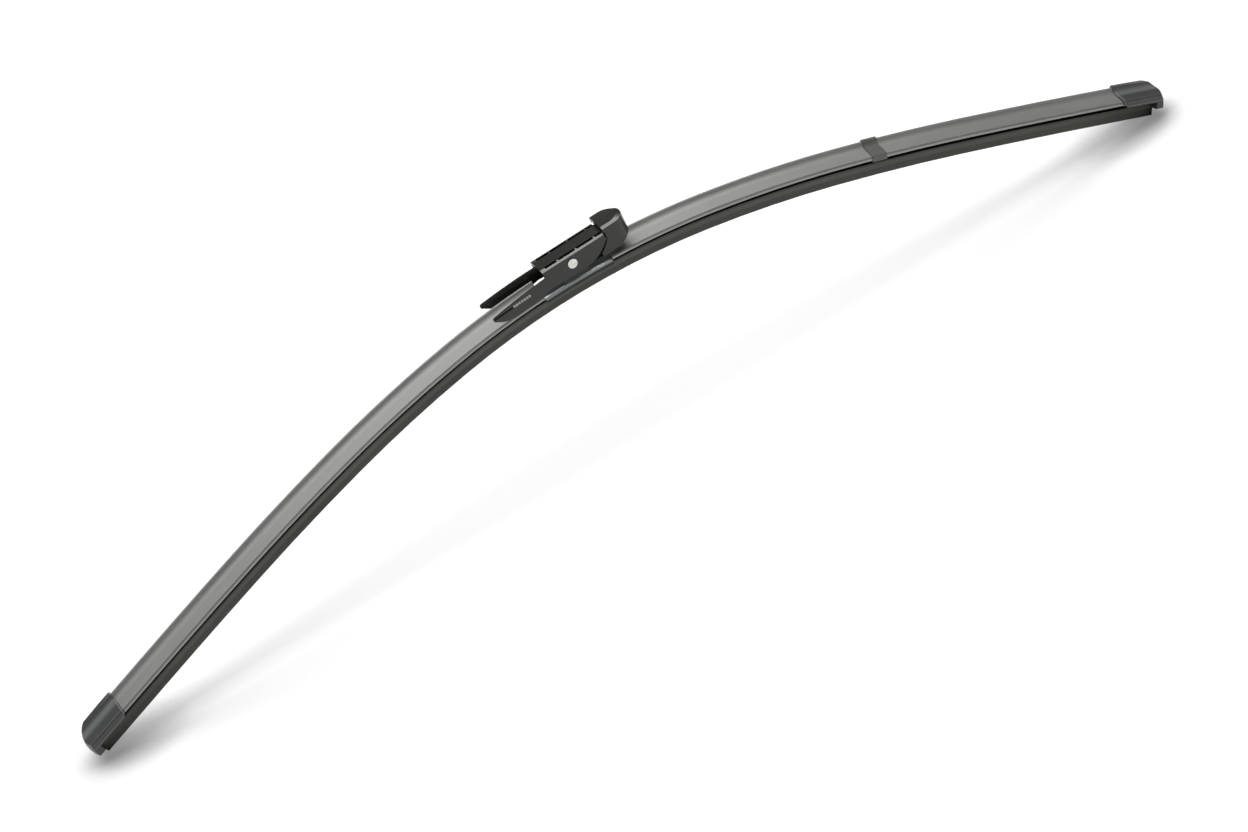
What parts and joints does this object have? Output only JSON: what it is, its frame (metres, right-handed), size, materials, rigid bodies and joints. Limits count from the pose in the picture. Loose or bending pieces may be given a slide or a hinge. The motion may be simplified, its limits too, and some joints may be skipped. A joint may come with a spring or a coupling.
{
  "type": "wiper blade",
  "caption": "Flat wiper blade: cambered rubber on hidden spring strips, soft spoilers, end caps and a pinch-tab arm adapter that rocks on a rivet.",
  "frame": {"origin": "middle of the pivot rivet, where the arm is held", "axes": "+X along the blade to its outboard end, +Y to its rear, +Z away from the glass"},
  "size_m": [0.6249, 0.0198, 0.1134],
  "materials": {
    "rubber": "matt",
    "spring_steel": "satin",
    "spoiler": "matt",
    "clip": "matt",
    "cap": "satin",
    "bracket": "satin",
    "rivet": "satin",
    "adapter": "matt"
  },
  "bodies": {
    "blade": {"wiper_rubber": "rubber", "spring_strip_front": "spring_steel", "spring_strip_rear": "spring_steel", "spoiler_inboard": "spoiler", "spoiler_outboard": "spoiler", "spoiler_clip": "clip", "end_cap_inboard": "cap", "end_cap_outboard": "cap", "centre_bracket": "bracket", "pivot_rivet": "rivet"},
    "adapter": {"adapter": "adapter"}
  },
  "joints": [
    {"name": "adapter_pivot", "type": "hinge", "parent": "blade", "child": "adapter", "pos_m": [0, 0, 0], "axis": [0, 1, 0], "range_deg": [-6, 6]}
  ]
}
